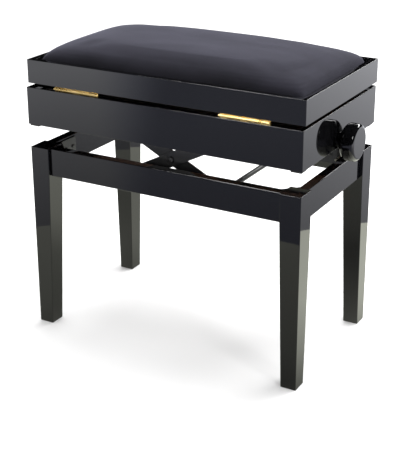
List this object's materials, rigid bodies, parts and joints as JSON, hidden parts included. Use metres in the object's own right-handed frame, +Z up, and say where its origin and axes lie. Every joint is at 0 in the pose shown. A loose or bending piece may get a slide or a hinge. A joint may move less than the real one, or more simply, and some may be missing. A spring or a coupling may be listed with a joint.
{
  "type": "piano bench",
  "caption": "Height-adjustable piano bench: black lacquered leg frame, scissor lift turned by a side knob, and a storage box under a hinged lid with a crowned velour cushion.",
  "frame": {"origin": "on the floor, under the middle of the bench's whole footprint, knob included", "axes": "+X along the seat towards the adjusting knob, +Y across the seat away from the hinged long side, +Z up"},
  "size_m": [0.59, 0.32, 0.5603],
  "materials": {
    "black_lacquer": "high-gloss black polyester lacquer on wood",
    "dark_board": "dark stained board, dull",
    "black_steel": "black powder coat, satin",
    "zinc_steel": "zinc-plated steel, satin",
    "brass": "polished brass",
    "velour": "black velour with a blue-violet sheen",
    "rubber": "matte black rubber",
    "black_gloss_plastic": "polished black plastic"
  },
  "bodies": {
    "leg_frame": {"leg_front_left": "black_lacquer", "corner_bracket_front_left": "black_steel", "hanger_bolt_front_left": "zinc_steel", "leg_front_right": "black_lacquer", "corner_bracket_front_right": "black_steel", "hanger_bolt_front_right": "zinc_steel", "leg_back_right": "black_lacquer", "corner_bracket_back_right": "black_steel", "hanger_bolt_back_right": "zinc_steel", "leg_back_left": "black_lacquer", "corner_bracket_back_left": "black_steel", "hanger_bolt_back_left": "zinc_steel", "apron_front": "black_lacquer", "apron_back": "black_lacquer", "apron_left": "black_lacquer", "apron_right": "black_lacquer", "lower_rail_front": "black_steel", "lower_pivot_bolt_front": "black_steel", "lower_rail_back": "black_steel", "lower_pivot_bolt_back": "black_steel"},
    "outer_arms": {"outer_arm_front": "black_steel", "centre_bolt_front": "black_steel", "upper_rod_front": "black_steel", "outer_arm_back": "black_steel", "centre_bolt_back": "black_steel", "upper_rod_back": "black_steel"},
    "inner_arms": {"inner_arm_front": "black_steel", "inner_arm_back": "black_steel", "lower_rod": "black_steel"},
    "nut": {"trunnion_nut": "zinc_steel"},
    "seat_box": {"box_front": "black_lacquer", "box_back": "black_lacquer", "box_left": "black_lacquer", "box_right": "black_lacquer", "box_floor": "dark_board", "bearing_bracket": "zinc_steel", "box_pad_front_left": "rubber", "box_pad_front_right": "rubber", "box_pad_back_right": "rubber", "box_pad_back_left": "rubber", "lid_bumper_left": "rubber", "lid_bumper_right": "rubber", "upper_rail_front": "black_steel", "upper_pivot_bolt_front": "black_steel", "upper_rail_back": "black_steel", "upper_pivot_bolt_back": "black_steel", "hinge_box_leaf_left": "brass", "hinge_box_leaf_right": "brass"},
    "spindle_and_knob": {"spindle": "zinc_steel", "knob": "black_gloss_plastic"},
    "lid": {"lid_front": "black_lacquer", "lid_back": "black_lacquer", "lid_left": "black_lacquer", "lid_right": "black_lacquer", "lid_panel": "dark_board", "seat_board": "dark_board", "seat_cushion": "velour", "hinge_lid_leaf_left": "brass", "hinge_lid_leaf_right": "brass"}
  },
  "joints": [
    {"name": "lift_arms", "type": "hinge", "parent": "leg_frame", "child": "outer_arms", "pos_m": [-0.1135, 0, 0.317], "axis": [0, -1, 0], "range_deg": [-11.5, 19.6]},
    {"name": "scissor_cross", "type": "hinge", "parent": "outer_arms", "child": "inner_arms", "pos_m": [-0.01726, 0, 0.366], "axis": [0, -1, 0], "range_deg": [-39.4, 23.2]},
    {"name": "box_level", "type": "hinge", "parent": "inner_arms", "child": "seat_box", "pos_m": [-0.1135, 0, 0.415], "axis": [0, -1, 0], "range_deg": [-11.7, 19.8]},
    {"name": "nut_level", "type": "hinge", "parent": "outer_arms", "child": "nut", "pos_m": [0.07899, 0, 0.415], "axis": [0, -1, 0], "range_deg": [-19.8, 11.7]},
    {"name": "spindle_turn", "type": "hinge", "parent": "seat_box", "child": "spindle_and_knob", "pos_m": [0.26, 0, 0.415], "axis": [1, 0, 0], "range_deg": [-1700, 1000]},
    {"name": "lid_hinge", "type": "hinge", "parent": "seat_box", "child": "lid", "pos_m": [-0.0175, -0.157, 0.47865], "axis": [1, 0, 0], "range_deg": [0, 95]}
  ],
  "couplings": [
    {"joint": "scissor_cross", "follows": "lift_arms", "ratio": -2},
    {"joint": "box_level", "follows": "lift_arms", "ratio": 1},
    {"joint": "nut_level", "follows": "lift_arms", "ratio": -1},
    {"joint": "spindle_turn", "follows": "lift_arms", "ratio": -86.4}
  ]
}
